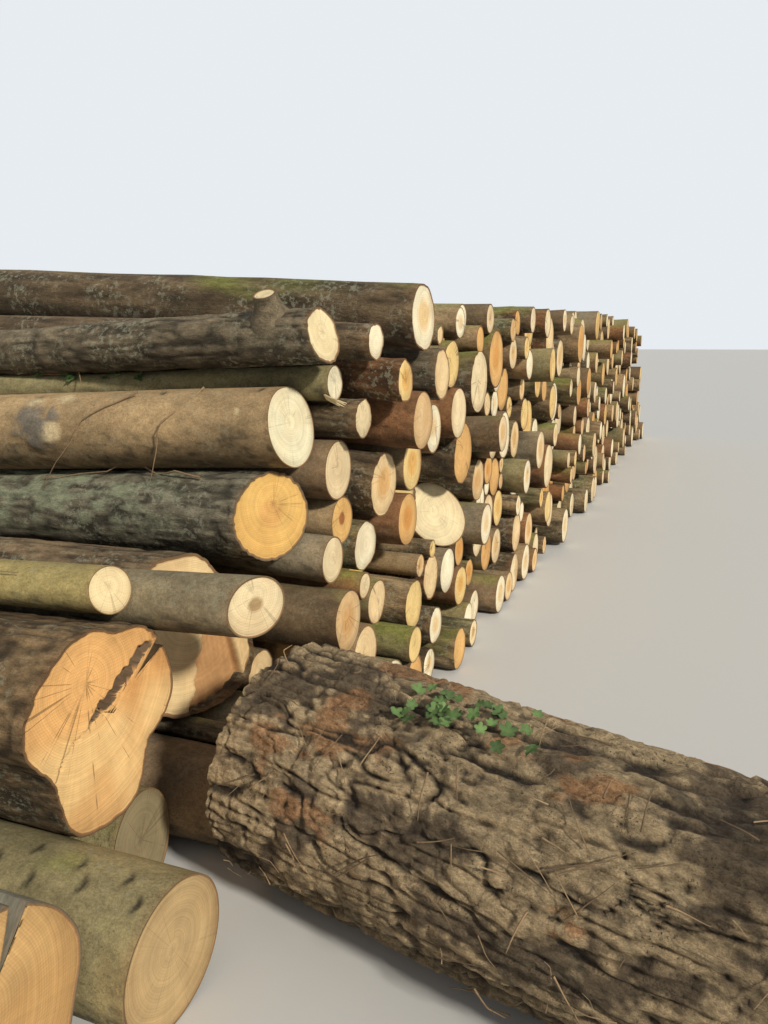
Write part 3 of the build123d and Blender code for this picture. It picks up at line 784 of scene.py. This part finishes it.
def add_leaf(piece, middle, normal, size, turn, tone, seed):
    """a five-lobed leaf, folded a little along its midrib"""
    normal = normal / np.linalg.norm(normal)
    across = np.cross(normal, (math.cos(turn), math.sin(turn), 0.3))
    across /= np.linalg.norm(across)
    ahead = np.cross(across, normal)
    angle = np.arange(20) / 20 * 2 * math.pi
    reach = size * (0.62 + 0.38 * np.abs(np.cos(2.5 * angle)) ** 0.8)
    u, v = reach * np.cos(angle), reach * np.sin(angle)
    lift = 0.25 * np.abs(v) + 0.1 * size * np.sin(5 * angle + seed)
    rim = middle + u[:, None] * ahead + v[:, None] * across + lift[:, None] * normal
    first = piece.points_added(rim, rim, tone)
    piece.fan(first, len(rim), middle, middle, np.asarray(tone) * 1.3, "leaf")


# Every node of the frame gets its bark and its ends, in the order of the nodes' names.

finish_of = {part["node"]: part["material_slot"] for part in frame["record"]["subparts"]}
stems = {}
for number, node in enumerate(sorted(frame["nodes"])):
    piece = Piece(node + "_bark_and_ends")
    for which, points in enumerate(separate_logs(node)):
        stem = Stem(points)
        if node in NAMED:
            look = NAMED[node]
            stems[node] = stem
        else:
            look = ordinary(int(node.split("_")[1]), stem.r_front)
        add_log(piece, stem, look, 100 * number + which)
    if node == "branch_stub_log":
        add_stub(piece, stem, look, STUB_BEHIND, STUB_TURN, STUB_RADIUS, STUB_REACH, 5)
    piece.made(finish_of.get(node), [node])


# What has caught on the logs


def on_bark(node, behind, degrees, proud):
    """a point on a named stem: metres behind its sawn end, degrees round it, clear of the bark"""
    stem = stems[node]
    share = 1 - behind / stem.length
    return stem.placed(stem.point(share, math.radians(degrees), proud)[None])[0]


def litter():
    """twigs and ivy on the near logs, and the splinters of the torn end"""
    piece = Piece("twigs_and_ivy")
    routes = [
        [("green_log", 1.05, 105, 0.03), ("green_log", 0.62, 120, 0.02), ("green_log", 0.25, 140, 0.015)],
        [("bent_log", 0.55, 120, 0.02), ("bent_log", 0.75, 160, 0.02), ("lichen_log", 0.9, 140, 0.02)],
        [("bent_log", 0.30, 105, 0.01), ("bent_log", 0.42, 175, 0.02), ("lichen_log", 0.40, 130, 0.015)],
        [("lichen_log", 0.20, 120, 0.01), ("lichen_log", 0.55, 100, 0.02), ("lichen_log", 0.95, 125, 0.015)],
        [("torn_end_log", 1.4, 110, 0.01), ("torn_end_log", 1.1, 100, 0.05), ("bent_log", 0.85, 100, 0.015)],
    ]
    for i, route in enumerate(routes):
        add_tube(piece, [on_bark(*stop) for stop in route], TWIG_THICKNESS, TWIG, "torn_wood", i)
    for i in range(SPLINTERS):
        turn = 218 + 5 * i
        start = on_bark("torn_end_log", 0.02, turn, -0.004)
        tip = on_bark("torn_end_log", -chance.uniform(0.012, 0.04), turn, chance.uniform(0.004, 0.022))
        add_tube(piece, [start, (start + tip) / 2, tip], SPLINTER_THICKNESS, SPLINTER, "torn_wood",
                 50 + i, 5)
    for i in range(IVY_LEAVES):
        place = on_bark("torn_end_log", chance.uniform(0.7, 1.4), chance.uniform(70, 150), 0.008)
        lean = np.array([chance.uniform(-0.5, 0.8), chance.uniform(-0.9, 0.2), 1])
        add_leaf(piece, place, lean, chance.uniform(0.012, 0.024), chance.uniform(0, 6.3),
                 np.array(LEAF) * chance.uniform(0.6, 1.5), i)
    piece.made()


def oak_litter():
    """twigs and ivy on the butt in front, whose near end is its back end"""
    piece = Piece("litter_on_the_oak")
    length = stems["foreground_oak_log"].length

    def spot(behind, degrees, proud):
        return on_bark("foreground_oak_log", length - behind, degrees, proud)

    for i in range(OAK_TWIGS):
        at, turn = chance.uniform(0.02, 1.6), chance.uniform(88, 215)
        run, roll = chance.uniform(-0.07, 0.07), chance.uniform(-9, 9)
        route = [spot(max(at + k * run, 0.01), turn + k * roll, chance.uniform(0.0, 0.016)) for k in range(3)]
        add_tube(piece, route, chance.uniform(0.0012, 0.003), np.array(TWIG) * chance.uniform(0.5, 1.3),
                 "torn_wood", i, 4)
    for i in range(OAK_LEAVES):
        at = chance.normal(0.62, 0.12)
        place = spot(max(at, 0.05), chance.normal(104, 7), 0.008)
        lean = np.array([chance.uniform(-0.5, 0.5), chance.uniform(-0.8, 0.1), 1])
        add_leaf(piece, place, lean, chance.uniform(0.013, 0.025), chance.uniform(0, 6.3),
                 np.array(LEAF) * chance.uniform(0.5, 1.4), i)
    piece.made()


litter()
oak_litter()


# Light, floor and camera


def stage():
    """a plain pale floor, the sun and soft light from all round"""
    floor = bpy.data.meshes.new("floor")
    r = FLOOR_REACH
    floor.from_pydata([(-r, -r, 0), (r, -r, 0), (r, r, 0), (-r, r, 0)], [], [(0, 1, 2, 3)])
    g = Graph("floor", 0.9)
    g.surface.inputs["Base Color"].default_value = (*FLOOR_COLOUR, 1)
    floor.materials.append(g.material)
    ground = bpy.data.objects.new("floor", floor)
    bpy.context.scene.collection.objects.link(ground)
    sun = bpy.data.lights.new("key", "SUN")
    sun.energy, sun.angle, sun.color = SUN_STRENGTH, math.radians(SUN_SPREAD), SUN_COLOUR
    key = bpy.data.objects.new("key", sun)
    key.rotation_euler = Vector(SUN_FROM).to_track_quat("Z", "Y").to_euler()
    bpy.context.scene.collection.objects.link(key)
    bpy.context.scene.world = pale_world()


def pale_world():
    """soft light from all round, and a paler backdrop where the camera or a gloss sees past it"""
    world = bpy.data.worlds.new("studio")
    world.use_nodes = True
    tree = world.node_tree
    light = tree.nodes["Background"]
    light.inputs["Color"].default_value = (*SKY_COLOUR, 1)
    light.inputs["Strength"].default_value = SKY_STRENGTH
    seen = tree.nodes.new("ShaderNodeBackground")
    seen.inputs["Color"].default_value = (*BACKDROP, 1)
    path = tree.nodes.new("ShaderNodeLightPath")
    share = path.outputs["Is Camera Ray"]
    for kind in ("Is Glossy Ray", "Is Transmission Ray"):
        either = tree.nodes.new("ShaderNodeMath")
        either.operation = "MAXIMUM"
        tree.links.new(share, either.inputs[0])
        tree.links.new(path.outputs[kind], either.inputs[1])
        share = either.outputs[0]
    mix = tree.nodes.new("ShaderNodeMixShader")
    tree.links.new(share, mix.inputs["Fac"])
    tree.links.new(light.outputs[0], mix.inputs[1])
    tree.links.new(seen.outputs[0], mix.inputs[2])
    tree.links.new(mix.outputs[0], tree.nodes["World Output"].inputs["Surface"])
    return world


def camera():
    """where the photograph was taken from"""
    beech = stems["smooth_beech_log"]
    end = beech.placed(beech.point(1, np.array([0, math.pi])).mean(0))
    seen = bpy.data.cameras.new("photo_view")
    seen.lens = seen.sensor_width / 2 / math.tan(math.radians(VERTICAL_VIEW / 2))
    shot = bpy.data.objects.new("photo_view", seen)
    shot.location = Vector(end) + Vector(CAMERA_FROM_BEECH_END)
    shot.rotation_euler = (math.radians(90 - CAMERA_DOWN), 0, math.radians(CAMERA_LEFT))
    bpy.context.scene.collection.objects.link(shot)
    bpy.context.scene.camera = shot


stage()
camera()
bpy.context.scene.view_settings.view_transform = "Standard"
